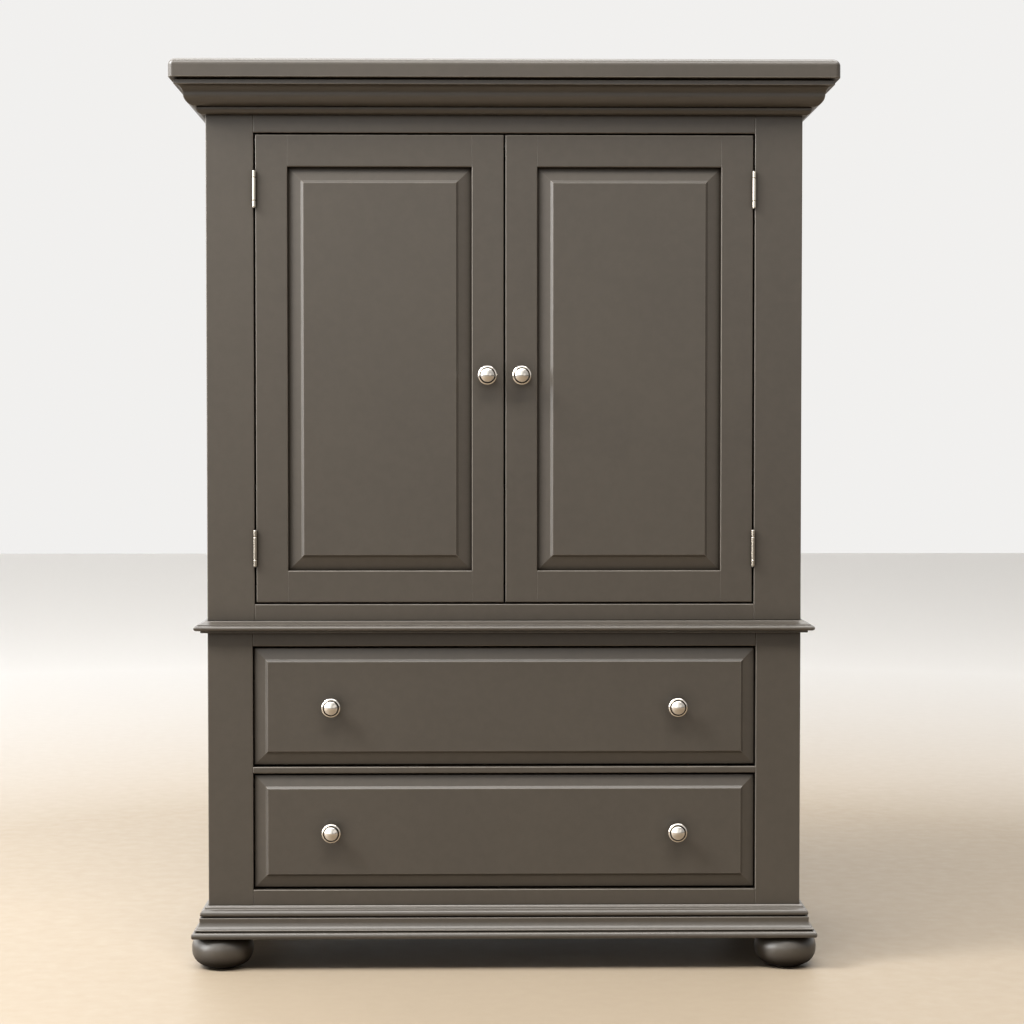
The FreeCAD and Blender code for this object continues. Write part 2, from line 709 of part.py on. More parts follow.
def build_drawer(prefix, opening_low, opening_high):
    """Raised-field front, grooved sides that ride on the runners, back and bottom board."""
    front_x = both(f"({DRAWER_HALF} - Dims.drawer_side_gap)")
    front_z = (f"{opening_low} + Dims.drawer_gap", f"{opening_high} - Dims.drawer_gap")
    edge = f"{FACE} + Dims.front_edge_recess"
    shoulder = f"{FACE} + Dims.field_shoulder"
    slab = board(f"{prefix}_front_slab", front_x, (edge, BOX_FRONT), front_z)
    raised = raised_field(f"{prefix}_front", front_x, front_z, "Dims.front_border", edge, shoulder, FACE)
    box_low = f"({opening_low} + Dims.box_lift)"
    bottom_low = f"({box_low} + Dims.bottom_lift)"
    bottom_z = (bottom_low, f"{bottom_low} + Dims.bottom_board")
    bottom_x = both(f"({BOX_INSIDE} + Dims.bottom_groove)")
    bottom_y = (f"{BOX_FRONT} - Dims.bottom_groove", BOX_END)
    slot = board(f"{prefix}_front_slot", bottom_x, (bottom_y[0], BOX_FRONT), bottom_z)
    keep(f"{prefix}_front", cut(f"{prefix}_front", fuse(f"{prefix}_front_solid", [slab] + raised), slot))
    keep(f"{prefix}_bottom", board(f"{prefix}_bottom", bottom_x, bottom_y, bottom_z))

    box_z = (box_low, f"{box_low} + Dims.box_height")
    groove_half = "(Dims.runner_tongue / 2 + Dims.sliding_gap)"
    groove_middle = f"{box_low} + Dims.runner_lift"
    groove_z = (f"{groove_middle} - {groove_half}", f"{groove_middle} + {groove_half}")
    groove_floor = f"{BOX_OUTSIDE} - Dims.runner_groove_depth"
    boards = []
    for side in SIDES:
        name = f"{prefix}_side_{side}"
        blank = board(f"{name}_blank", across(side, BOX_INSIDE, BOX_OUTSIDE), (BOX_FRONT, BOX_END), box_z)
        runner_groove = board(f"{name}_runner_groove", across(side, groove_floor, BOX_OUTSIDE),
                              (BOX_FRONT, BOX_END), groove_z)
        slot_x = across(side, BOX_INSIDE, f"{BOX_INSIDE} + Dims.bottom_groove")
        slot = board(f"{name}_slot", slot_x, (BOX_FRONT, BOX_END), bottom_z)
        boards.append(cut(name, blank, group(f"{name}_grooves", [runner_groove, slot])))
    back_y = (f"{BOX_END} - Dims.box_board", BOX_END)
    boards.append(board(f"{prefix}_box_back", both(BOX_INSIDE), back_y, (bottom_z[1], box_z[1])))
    keep(f"{prefix}_box", group(f"{prefix}_box", boards))

    middle = f"({opening_low} + {opening_high}) / 2"
    knobs = [knob(f"{prefix}_knob_{side}", signed(side, "Dims.drawer_knob_centre"), middle)
             for side in SIDES]
    keep(f"{prefix}_knobs", group(f"{prefix}_knobs", knobs))


def build_runners():
    """Hardwood runners: a block on the case side, and a tongue that the drawer side rides on."""
    runners = []
    start = f"{BOX_FRONT} + Dims.shelf_gap"
    tongue_tip = f"({BOX_OUTSIDE} - Dims.runner_groove_depth + Dims.sliding_gap)"
    for level_name, opening_low in (("upper", "Dims.upper_drawer_low"), ("lower", "Dims.lower_drawer_low")):
        middle = f"({opening_low} + Dims.box_lift + Dims.runner_lift)"
        tongue_z = (f"{middle} - Dims.runner_tongue / 2", f"{middle} + Dims.runner_tongue / 2")
        block_z = (f"{middle} - Dims.runner_block / 2", f"{middle} + Dims.runner_block / 2")
        for side in SIDES:
            name = f"runner_{level_name}_{side}"
            block = board(f"{name}_block", across(side, DRAWER_HALF, INNER),
                          (BEHIND_FACE, BEFORE_BACK), block_z)
            tongue = board(f"{name}_tongue", across(side, tongue_tip, DRAWER_HALF),
                           (start, BEFORE_BACK), tongue_z)
            runners.append(fuse(name, [block, tongue]))
    keep("drawer_runners", group("drawer_runners", runners))


build_upper_case()
build_lower_case()
build_top_board()
build_crown()
build_waist_board()
build_base_moulding()
build_feet()
build_interior()
build_frame_hinges()
build_runners()
for side in SIDES:
    build_door(side)
build_drawer("upper_drawer", "Dims.upper_drawer_low", "Dims.upper_drawer_high")
build_drawer("lower_drawer", "Dims.lower_drawer_low", "Dims.lower_drawer_high")
doc.recompute()

for piece in doc.Objects:
    if "Invalid" in piece.State or "Error" in piece.State:
        raise RuntimeError(f"{piece.Label} failed: {piece.State}")
for name, piece in nodes.items():
    if piece.Shape.isNull() or not piece.Shape.isValid():
        raise RuntimeError(f"{name} has no valid shape")

os.makedirs("parts", exist_ok=True)
for name, piece in nodes.items():
    piece.Shape.exportStep(f"parts/{name}.step")
print(len(nodes), "nodes written")
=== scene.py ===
import json
import math

import bmesh
import bpy
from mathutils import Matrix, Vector


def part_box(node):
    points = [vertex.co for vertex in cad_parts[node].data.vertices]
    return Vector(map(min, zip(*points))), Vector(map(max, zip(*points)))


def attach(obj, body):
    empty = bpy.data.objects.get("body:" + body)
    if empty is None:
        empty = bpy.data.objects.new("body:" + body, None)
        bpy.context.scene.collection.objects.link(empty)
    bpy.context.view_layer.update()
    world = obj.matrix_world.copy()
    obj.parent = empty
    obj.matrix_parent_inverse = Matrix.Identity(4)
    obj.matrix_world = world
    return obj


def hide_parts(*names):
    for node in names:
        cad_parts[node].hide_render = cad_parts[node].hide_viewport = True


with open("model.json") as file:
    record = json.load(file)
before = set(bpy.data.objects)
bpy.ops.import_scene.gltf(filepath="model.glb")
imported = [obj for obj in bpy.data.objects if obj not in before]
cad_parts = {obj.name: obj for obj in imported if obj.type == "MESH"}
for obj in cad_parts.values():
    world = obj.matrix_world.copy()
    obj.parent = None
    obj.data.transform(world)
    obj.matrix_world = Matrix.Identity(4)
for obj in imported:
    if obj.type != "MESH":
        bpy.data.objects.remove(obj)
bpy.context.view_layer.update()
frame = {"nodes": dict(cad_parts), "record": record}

# A painted armoire. Lengths in the shape functions are in millimetres, and meshes are made in metres.
MM = 0.001

# Edge roundings and joint lines
ARRIS = 1.9
FRAME_SEAM = 1.3
DOOR_SEAM = 0.6
BACK_ARRIS = 0.6
ARRIS_STEPS = 4
ARC_STEP = math.radians(12)
TURNING_STEPS = 72


def corners(node):
    """A CAD node's lowest and highest corner, in millimetres."""
    low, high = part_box(node)
    return [value / MM for value in low], [value / MM for value in high]


HALF, BACK = corners("lower_floor")[1][:2]
FACE = corners("upper_top_rail")[0][1]


# Outlines and shapes: each shape is a pair of points and faces

def arc(start, middle, end):
    """Points after the start, on the arc from start to end through the middle point."""
    ax, ay = start
    bx, by = middle
    cx, cy = end
    turn = 2 * (ax * (by - cy) + bx * (cy - ay) + cx * (ay - by))
    a2, b2, c2 = ax * ax + ay * ay, bx * bx + by * by, cx * cx + cy * cy
    ux = (a2 * (by - cy) + b2 * (cy - ay) + c2 * (ay - by)) / turn
    uy = (a2 * (cx - bx) + b2 * (ax - cx) + c2 * (bx - ax)) / turn
    radius = math.hypot(ax - ux, ay - uy)
    first = math.atan2(ay - uy, ax - ux)
    sweep = (math.atan2(cy - uy, cx - ux) - first) % math.tau
    to_middle = (math.atan2(by - uy, bx - ux) - first) % math.tau
    if to_middle > sweep:
        sweep -= math.tau
    steps = max(2, math.ceil(abs(sweep) / ARC_STEP))
    angles = [first + sweep * step / steps for step in range(1, steps + 1)]
    return [(ux + radius * math.cos(angle), uy + radius * math.sin(angle)) for angle in angles]


def trace(outline):
    """Points along an outline: each entry is a point, or a middle point and an end point of an arc."""
    points = [outline[0][-1]]
    for entry in outline[1:]:
        if len(entry) == 1:
            points.append(entry[0])
        else:
            points += arc(points[-1], *entry)
    return points


def skin(rings):
    """A closed skin over rings of equal length, capped at both ends."""
    count = len(rings[0])
    points = [point for ring in rings for point in ring]
    faces = []
    for row in range(len(rings) - 1):
        here, there = row * count, (row + 1) * count
        for index in range(count):
            after = (index + 1) % count
            faces.append([here + index, here + after, there + after, there + index])
    faces.append(list(range(count)))
    faces.append(list(range(len(points) - count, len(points))))
    return points, faces


def join(shapes):
    """Several shapes as one."""
    points, faces = [], []
    for new_points, new_faces in shapes:
        start = len(points)
        points += new_points
        faces += [[start + index for index in face] for face in new_faces]
    return points, faces


def turn_on(profile, place, loop=False):
    """A turned shape from (radius, height) points: place puts a point (x, y, height) in space."""
    rings = []
    for step in range(TURNING_STEPS):
        angle = math.tau * step / TURNING_STEPS
        rings.append([place(r * math.cos(angle), r * math.sin(angle), h) for r, h in profile])
    count = len(profile)
    points = [point for ring in rings for point in ring]
    faces = []
    for step in range(TURNING_STEPS):
        here, there = step * count, (step + 1) % TURNING_STEPS * count
        for index in range(count if loop else count - 1):
            after = (index + 1) % count
            faces.append([here + index, here + after, there + after, there + index])
    return points, faces


def raised(low, high, profile):
    """A flat panel built up from rectangles: profile holds (inset from the edge, depth) pairs."""
    rings = []
    for inset, y in profile:
        x0, x1 = low[0] + inset, high[0] - inset
        z0, z1 = low[2] + inset, high[2] - inset
        rings.append([(x0, y, z0), (x1, y, z0), (x1, y, z1), (x0, y, z1)])
    return skin(rings)


def section(low, high, front, back, arris_low, arris_high, groove=None):
    """A bar's section as (across, depth) points, with rounded front corners and perhaps a groove."""
    points = []
    for centre, radius, first in ((low + arris_low, arris_low, 180), (high - arris_high, arris_high, 270)):
        for step in range(ARRIS_STEPS + 1):
            angle = math.radians(first + 90 * step / ARRIS_STEPS)
            points.append((centre + radius * math.cos(angle), front + radius * (1 + math.sin(angle))))
    edge, floor, groove_front, groove_back = groove or (None, 0, 0, 0)
    if edge == "high":
        points += [(high, groove_front), (floor, groove_front), (floor, groove_back), (high, groove_back)]
    points += [(high, back - BACK_ARRIS), (high - BACK_ARRIS, back)]
    points += [(low + BACK_ARRIS, back), (low, back - BACK_ARRIS)]
    if edge == "low":
        points += [(low, groove_back), (floor, groove_back), (floor, groove_front), (low, groove_front)]
    return points


def rounded_end(position, inward, radius):
    """Stations (position, how far the front is sunk) that round off one end of a bar."""
    stations = []
    for step in range(ARRIS_STEPS + 1):
        angle = math.pi / 2 * step / ARRIS_STEPS
        reach = position + inward * radius * (1 - math.cos(angle))
        stations.append((reach, radius * (1 - math.sin(angle))))
    return stations


def bar(along, low, high, arris_low, arris_high, ends, seam, groove=None, tenon=0):
    """A board along "x" or "z" between two corners. An arris is a radius, or a list of tight joints."""
    run, across = (0, 2) if along == "x" else (2, 0)
    stations = rounded_end(low[run], 1, ends)
    first, last = low[run] + ends + ARRIS, high[run] - ends - ARRIS
    for position in sorted(set(arris_changes(arris_low) + arris_changes(arris_high))):
        if first < position < last:
            stations += [(position - ARRIS / 2, 0), (position + ARRIS / 2, 0)]
    stations += reversed(rounded_end(high[run], -1, ends))
    rings = []
    for position, sunk in stations:
        radii = [radius_at(arris, position, seam) for arris in (arris_low, arris_high)]
        ring = section(low[across], high[across], low[1] + sunk, high[1], *radii, groove)
        rings.append((position, ring))
    if tenon:
        front, back = groove[2], groove[3]
        for index, step in ((0, -tenon), (-1, tenon)):
            position, ring = rings[index]
            thin = [(u, min(max(v, front), back)) for u, v in ring]
            extra = [(position, thin), (position + step, thin)]
            rings = extra[::-1] + rings if index == 0 else rings + extra
    if along == "x":
        return skin([[(position, v, u) for u, v in ring] for position, ring in rings])
    return skin([[(u, v, position) for u, v in ring] for position, ring in rings])


def arris_changes(arris):
    """Where an arris starts or stops being a tight joint."""
    return [] if isinstance(arris, (int, float)) else [edge for joint in arris for edge in joint]


def radius_at(arris, position, seam):
    """A plain radius, or the seam's where the board is tight against another and the arris elsewhere."""
    if isinstance(arris, (int, float)):
        return arris
    return seam if any(low <= position <= high for low, high in arris) else ARRIS


def block(low, high, edge):
    """A small square-edged block with its edges broken."""
    rings = []
    for z, inset in ((low[2], edge), (low[2] + edge, 0), (high[2] - edge, 0), (high[2], edge)):
        x0, x1, y0, y1 = low[0] + inset, high[0] - inset, low[1] + inset, high[1] - inset
        rings.append([
            (x0 + edge, y0, z), (x1 - edge, y0, z), (x1, y0 + edge, z), (x1, y1 - edge, z),
            (x1 - edge, y1, z), (x0 + edge, y1, z), (x0, y1 - edge, z), (x0, y0 + edge, z),
        ])
    return skin(rings)


# Materials

def feed(tree, socket, value):
    """Links a socket to another node's output, or sets its plain value."""
    if isinstance(value, bpy.types.NodeSocket):
        tree.links.new(value, socket)
    else:
        socket.default_value = value


def add(tree, kind, inputs, **settings):
    """A new node with its settings and inputs."""
    node = tree.nodes.new(kind)
    for key, value in settings.items():
        setattr(node, key, value)
    for key, value in inputs.items():
        feed(tree, node.inputs[key], value)
    return node


def noise(tree, scale, detail=3.0, stretch=(1, 1, 1), roughness=0.55):
    """Noise in the object's own space, stretched along an axis where that is asked for."""
    place = add(tree, "ShaderNodeTexCoord", {}).outputs["Object"]
    mapped = add(tree, "ShaderNodeMapping", {"Vector": place, "Scale": stretch}).outputs["Vector"]
    inputs = {"Vector": mapped, "Scale": scale, "Detail": detail, "Roughness": roughness}
    return add(tree, "ShaderNodeTexNoise", inputs).outputs["Fac"]


def remap(tree, value, low, high, to_low, to_high):
    inputs = {"Value": value, "From Min": low, "From Max": high, "To Min": to_low, "To Max": to_high}
    return add(tree, "ShaderNodeMapRange", inputs).outputs["Result"]


def blend(tree, factor, first, second):
    """Mixes two colours."""
    inputs = {0: factor, 6: first, 7: second}
    return add(tree, "ShaderNodeMix", inputs, data_type="RGBA").outputs[2]


def arithmetic(tree, operation, first, second):
    return add(tree, "ShaderNodeMath", {0: first, 1: second}, operation=operation).outputs[0]


WEAR_AND_HIGHLIGHT_RADIUS = 0.0024


def edges_for_wear_and_highlight(tree, radius=WEAR_AND_HIGHLIGHT_RADIUS):
    """How close a point is to a sharp edge, from 0 on the flat to 1 on the arris."""
    rounded = add(tree, "ShaderNodeBevel", {"Radius": radius}, samples=4).outputs["Normal"]
    true = add(tree, "ShaderNodeNewGeometry", {}).outputs["True Normal"]
    both = add(tree, "ShaderNodeVectorMath", {0: rounded, 1: true}, operation="DOT_PRODUCT")
    return remap(tree, both.outputs["Value"], 0.995, 0.93, 0.0, 1.0)


def rounded_arrises(tree):
    """How far a surface turns from all three axes: 1 in the middle of a board's rounded arris."""
    normal = add(tree, "ShaderNodeTexCoord", {}).outputs["Normal"]
    sizes = add(tree, "ShaderNodeVectorMath", {0: normal}, operation="ABSOLUTE").outputs["Vector"]
    parts = add(tree, "ShaderNodeSeparateXYZ", {"Vector": sizes}).outputs
    largest = arithmetic(tree, "MAXIMUM", arithmetic(tree, "MAXIMUM", parts["X"], parts["Y"]), parts["Z"])
    return remap(tree, largest, 0.97, 0.80, 0.0, 1.0)


DARK_CREVICE = 0.35


def crevices(tree, reach, shallow, alone=True):
    """How deep in a crevice a point lies: 0 where it is opener than shallow, and 1 in the dark."""
    inputs = {"Distance": reach}
    open_air = add(tree, "ShaderNodeAmbientOcclusion", inputs, samples=8, only_local=alone).outputs["AO"]
    return remap(tree, open_air, shallow, DARK_CREVICE, 0.0, 1.0)


def bump(tree, height, distance, strength):
    inputs = {"Height": height, "Distance": distance, "Strength": strength}
    return add(tree, "ShaderNodeBump", inputs).outputs["Normal"]


def surface(name, build, **plain):
    """A material whose principled shader takes linked inputs from build and plain values."""
    material = bpy.data.materials.new(name)
    material.use_nodes = True
    tree = material.node_tree
    shader = tree.nodes["Principled BSDF"]
    for key, value in {**build(tree), **plain}.items():
        feed(tree, shader.inputs[key.replace("_", " ")], value)
    return material


PAINT_TONE = (0.053, 0.0445, 0.0348, 1)
PAINT_CLOUD = (0.060, 0.0503, 0.0388, 1)
PAINT_MOTTLE = (0.088, 0.074, 0.059, 1)
# Near black, for painted shade in recesses and under overhangs.
PAINT_SHADE_IN_RECESSES = (0.006, 0.004, 0.0025, 1)
# Paler paint on the arrises: partly wear, partly a painted highlight.
PAINT_WEAR_AND_HIGHLIGHT = (0.20, 0.175, 0.145, 1)
PAINTED_SHADE_REACH = 0.034
PAINTED_SHADE_SHALLOW = 0.95
WEAR_AND_HIGHLIGHT_AMOUNT = 0.9
SHEEN_VARIES = 0.02


def paint_inputs(edges, dull, gloss):
    """Dark warm-grey paint: cloudy and finely mottled, paler on its arrises (partly wear, partly a painted
    highlight), and darker and less shiny in its recesses and under overhangs, which is painted shade.
    """
    def build(tree):
        cloud = remap(tree, noise(tree, 3.2, 2.0), 0.3, 0.7, 0.0, 1.0)
        tone = blend(tree, cloud, PAINT_TONE, PAINT_CLOUD)
        mottle = remap(tree, noise(tree, 70.0, 2.0), 0.35, 0.65, 0.0, 0.14)
        tone = blend(tree, mottle, tone, PAINT_MOTTLE)
        # Painted shade: ambient occlusion over a few centimetres darkens the colour in recesses and under
        # overhangs.
        recess_shade = crevices(tree, PAINTED_SHADE_REACH, PAINTED_SHADE_SHALLOW, False)
        tone = blend(tree, arithmetic(tree, "MULTIPLY", recess_shade, 0.85), tone, PAINT_SHADE_IN_RECESSES)
        # Paler arrises: partly worn paint, partly a painted highlight, held back where the painted shade
        # lies.
        patchy = remap(tree, noise(tree, 26.0, 5.0), 0.3, 0.6, 0.6, 1.0)
        wear_and_highlight = arithmetic(tree, "MULTIPLY", edges(tree), patchy)
        exposed = remap(tree, recess_shade, 0.0, 0.9, WEAR_AND_HIGHLIGHT_AMOUNT, 0.0)
        wear_and_highlight = arithmetic(tree, "MULTIPLY", wear_and_highlight, exposed)
        tone = blend(tree, wear_and_highlight, tone, PAINT_WEAR_AND_HIGHLIGHT)
        sheen = remap(tree, noise(tree, 60.0, 2.0), 0.3, 0.7, dull - SHEEN_VARIES, dull + SHEEN_VARIES)
        sheen = arithmetic(tree, "ADD", sheen, arithmetic(tree, "MULTIPLY", recess_shade, 0.3))
        ripple = bump(tree, noise(tree, 24.0, 2.0), 0.0004, 0.2)
        # Painted shade: the specular level falls in the recesses.
        shine = remap(tree, recess_shade, 0.0, 1.0, gloss, 0.1)
        return {"Base Color": tone, "Roughness": sheen, "Normal": ripple, "Specular IOR Level": shine}

    return build


BIRCH_TONE = (0.56, 0.40, 0.24, 1)
BIRCH_FIGURE = (0.68, 0.52, 0.34, 1)
BIRCH_CLOUD = (0.52, 0.35, 0.20, 1)
BIRCH_PORES = (0.33, 0.21, 0.11, 1)
BIRCH_EDGE = (0.60, 0.45, 0.29, 1)
GRAIN_STRETCH = 0.035


def birch_inputs(grain):
    """Pale lacquered hardwood with its grain stretched along one axis."""
    stretch = tuple(GRAIN_STRETCH if axis == grain else 1.0 for axis in "xyz")

    def build(tree):
        figure = noise(tree, 46.0, 6.0, stretch, 0.62)
        cloud = noise(tree, 9.0, 3.0, stretch)
        pores = remap(tree, noise(tree, 420.0, 4.0, stretch), 0.58, 0.70, 0.0, 0.35)
        tone = blend(tree, remap(tree, figure, 0.35, 0.66, 0.0, 1.0), BIRCH_TONE, BIRCH_FIGURE)
        tone = blend(tree, remap(tree, cloud, 0.35, 0.7, 0.0, 0.5), tone, BIRCH_CLOUD)
        tone = blend(tree, pores, tone, BIRCH_PORES)
        tone = blend(tree, edges_for_wear_and_highlight(tree, 0.0012), tone, BIRCH_EDGE)
        gloss = remap(tree, figure, 0.3, 0.7, 0.38, 0.52)
        return {"Base Color": tone, "Roughness": gloss, "Normal": bump(tree, figure, 0.00012, 0.6)}

    return build


# Dark colour for the metal's crevices: partly tarnish, partly painted shade.
TARNISH_AND_SHADE = (0.075, 0.062, 0.048, 1)
TARNISH_AND_SHADE_REACH = 0.004
TARNISH_AND_SHADE_SHALLOW = 0.75


def metal_inputs(colour, dull, low, high):
    """Plated metal with faint handling marks and dark crevices, partly tarnish and partly painted shade:
    roughness runs between low and high.
    """
    def build(tree):
        marks = noise(tree, 300.0, 5.0, (1, 1, 0.25))
        patches = noise(tree, 40.0, 3.0)
        tone = blend(tree, remap(tree, patches, 0.35, 0.7, 0.0, 0.5), colour, dull)
        # Dark crevices: partly tarnish, partly painted shade.
        tone = blend(tree, crevices(tree, TARNISH_AND_SHADE_REACH, TARNISH_AND_SHADE_SHALLOW), tone, TARNISH_AND_SHADE)
        gloss = remap(tree, arithmetic(tree, "ADD", marks, patches), 0.7, 1.3, low, high)
        return {"Base Color": tone, "Roughness": gloss, "Normal": bump(tree, marks, 0.00001, 0.5)}

    return build


def plastic_inputs(tree):
    grain = noise(tree, 900.0, 3.0)
    tone = blend(tree, edges_for_wear_and_highlight(tree, 0.001), (0.035, 0.032, 0.030, 1), (0.10, 0.095, 0.09, 1))
    gloss = remap(tree, grain, 0.3, 0.7, 0.45, 0.6)
    return {"Base Color": tone, "Roughness": gloss, "Normal": bump(tree, grain, 0.00008, 0.6)}


BOARD_PAINT = paint_inputs(rounded_arrises, 0.315, 0.62)
PANEL_PAINT = paint_inputs(edges_for_wear_and_highlight, 0.325, 0.64)
MOULDING_PAINT = paint_inputs(edges_for_wear_and_highlight, 0.302, 0.88)
NICKEL = metal_inputs((0.72, 0.68, 0.62, 1), (0.62, 0.575, 0.51, 1), 0.06, 0.13)
SATIN_NICKEL = metal_inputs((0.50, 0.46, 0.40, 1), (0.42, 0.38, 0.32, 1), 0.13, 0.22)
ZINC = metal_inputs((0.66, 0.66, 0.64, 1), (0.48, 0.48, 0.47, 1), 0.30, 0.42)
FINISHES = {
    "paint": (surface("satin_paint", BOARD_PAINT), "paint"),
    "panel": (surface("satin_paint_on_panels", PANEL_PAINT), "paint"),
    "moulding": (surface("glossier_paint_on_mouldings", MOULDING_PAINT), "paint"),
    "birch": (surface("birch_across", birch_inputs("x")), "birch"),
    "birch_deep": (surface("birch_front_to_back", birch_inputs("y")), "birch"),
    "nickel": (surface("polished_nickel", NICKEL, Metallic=1.0), "nickel"),
    "satin_nickel": (surface("satin_nickel", SATIN_NICKEL, Metallic=1.0), "nickel"),
    "zinc": (surface("zinc_plated_steel", ZINC, Metallic=1.0), "zinc_steel"),
    "plastic": (surface("dark_plastic", plastic_inputs), "catch_plastic"),
}


# Pieces

BODY_OF = {node: body for body, names in frame["record"]["behaviour"]["bodies"].items() for node in names}
BOARD_CREASE = 30
PANEL_CREASE = 9


def make(name, shape, finish, nodes, crease=BOARD_CREASE):
    """One piece that replaces CAD nodes and rides on their body. Edges over crease degrees stay sharp."""
    points, faces = shape
    mesh = bpy.data.meshes.new(name)
    mesh.from_pydata([Vector(point) * MM for point in points], [], faces)
    work = bmesh.new()
    work.from_mesh(mesh)
    bmesh.ops.remove_doubles(work, verts=work.verts, dist=0.0005 * MM)
    bmesh.ops.dissolve_degenerate(work, edges=work.edges, dist=0.0005 * MM)
    bmesh.ops.recalc_face_normals(work, faces=work.faces)
    work.to_mesh(mesh)
    work.free()
    mesh.shade_smooth()
    mesh.set_sharp_from_angle(angle=math.radians(crease))
    material, slot = FINISHES[finish]
    mesh.materials.append(material)
    piece = bpy.data.objects.new(name, mesh)
    bpy.context.scene.collection.objects.link(piece)
    flats = piece.modifiers.new("true_flats", "WEIGHTED_NORMAL")
    flats.keep_sharp = True
    flats.weight = 80
    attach(piece, BODY_OF[nodes[0]])
    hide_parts(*nodes)


def finish_node(name, finish, edge=0.0):
    """Keeps a CAD node, with its own finish and, where asked, softly broken edges."""
    node = frame["nodes"][name]
    node.data.materials.clear()
    node.data.materials.append(FINISHES[finish][0])
    if edge:
        weld = node.modifiers.new("weld", "WELD")
        weld.merge_threshold = 0.01 * MM
        bevel = node.modifiers.new("edges", "BEVEL")
        bevel.width = edge * MM
        bevel.segments = 2
        bevel.limit_method = "ANGLE"
        bevel.angle_limit = math.radians(60)
        bevel.harden_normals = True


def finish_cad_nodes():
    """The nodes that keep their CAD shape: panels, shelf, drawer boxes, runners and small hardware."""
    for name in ("upper_side_left", "upper_side_right", "upper_back", "upper_floor", "shelf",
                 "lower_side_left", "lower_side_right", "lower_back", "lower_floor"):
        finish_node(name, "paint", 0.8)
    finish_node("drawer_runners", "birch_deep", 0.8)
    for drawer in ("upper_drawer", "lower_drawer"):
        finish_node(f"{drawer}_box", "birch_deep", 1.0)
        finish_node(f"{drawer}_bottom", "birch", 0.3)
    for name in ("clothes_rod", "rod_sockets", "shelf_pins", "foot_bolts",
                 "left_door_strike", "right_door_strike"):
        finish_node(name, "zinc")
    finish_node("door_catch", "plastic", 0.6)


def face_frame_stile(node, inner_edge, joints):
    """A face-frame stile whose inner arris stops where rails meet it."""
    low, high = corners(node)
    arrises = (joints, ARRIS) if inner_edge == "low" else (ARRIS, joints)
    make(node + "_board", bar("z", low, high, *arrises, FRAME_SEAM, FRAME_SEAM), "paint", [node])


def face_frame_rail(node, arris_low, arris_high):
    low, high = corners(node)
    shape = bar("x", low, high, arris_low, arris_high, FRAME_SEAM, FRAME_SEAM)
    make(node + "_board", shape, "paint", [node])


def build_face_frames():
    def levels(rail):
        low, high = corners(rail)
        return low[2], high[2]

    upper = [levels("upper_bottom_rail"), levels("upper_top_rail")]
    lower = [levels(f"{rail}_rail") for rail in ("lower_bottom", "drawer_divider", "lower_top")]
    for side, inner in (("left", "high"), ("right", "low")):
        face_frame_stile(f"upper_stile_{side}", inner, upper)
        face_frame_stile(f"lower_stile_{side}", inner, lower)
    face_frame_rail("upper_top_rail", ARRIS, FRAME_SEAM)
    face_frame_rail("upper_bottom_rail", FRAME_SEAM, ARRIS)
    face_frame_rail("lower_top_rail", ARRIS, FRAME_SEAM)
    face_frame_rail("drawer_divider_rail", ARRIS, ARRIS)
    face_frame_rail("lower_bottom_rail", FRAME_SEAM, ARRIS)


# Mouldings and moulded boards

MITRE_LINE = 0.3


def mitred_front(outline, level):
    """A length along the front: its ends are mitred, with a fine joint line at each."""
    points = trace(outline)
    profile = [(0.0, points[0][1])] + points + [(0.0, points[-1][1])]
    rings = []
    for side, step, sunk in ((-1, 0, 1), (-1, 1, 0), (1, 1, 0), (1, 0, 1)):
        ring = []
        for out, z in profile:
            shrunk = max(out - sunk * MITRE_LINE, 0)
            x = side * (HALF + out - step * MITRE_LINE)
            ring.append((x, FACE - shrunk, level + z))
        rings.append(ring)
    return skin(rings)


def mitred_return(outline, level, side):
    """A length down one side, mitred at the front and square at the back."""
    points = trace(outline)
    profile = [(0.0, points[0][1])] + points + [(0.0, points[-1][1])]
    rings = [[], [], []]
    for out, z in profile:
        shrunk = max(out - MITRE_LINE, 0)
        rings[0].append((side * (HALF + shrunk), FACE - out, level + z))
        rings[1].append((side * (HALF + out), FACE - out + MITRE_LINE, level + z))
        rings[2].append((side * (HALF + out), BACK, level + z))
    return skin(rings)


def build_moulding(name, outline):
    level = corners(f"{name}_front")[0][2]
    make(f"{name}_front_length", mitred_front(outline, level), "moulding", [f"{name}_front"])
    returns = join([mitred_return(outline, level, side) for side in (-1, 1)])
    make(f"{name}_return_lengths", returns, "moulding", [f"{name}_returns"])


TIGHT_CORNER = 1.5
CORNER_STEPS = 8


def slab(outline, level, corner=TIGHT_CORNER):
    """A board over the whole case, with one outline along its front and both sides."""
    points = trace(outline)
    widest = max(out for out, z in points)
    rings = []
    for out, z in points:
        ring = []
        radius = max(corner - (widest - out), TIGHT_CORNER)
        for side, first in ((-1, 180), (1, 270)):
            for step in range(CORNER_STEPS + 1):
                angle = math.radians(first + 90 * step / CORNER_STEPS)
                x = side * (HALF + out - radius) + radius * math.cos(angle)
                y = FACE - out + radius * (1 + math.sin(angle))
                ring.append((x, y, level + z))
        ring += [(HALF + out, BACK, level + z), (-HALF - out, BACK, level + z)]
        rings.append(ring)
    return skin(rings)


TOP_CORNER = 9.0
TOP_ROLL_IN = 16.0
TOP_ROLL_DOWN = 12.5
TOP_ROLL_STEPS = 12


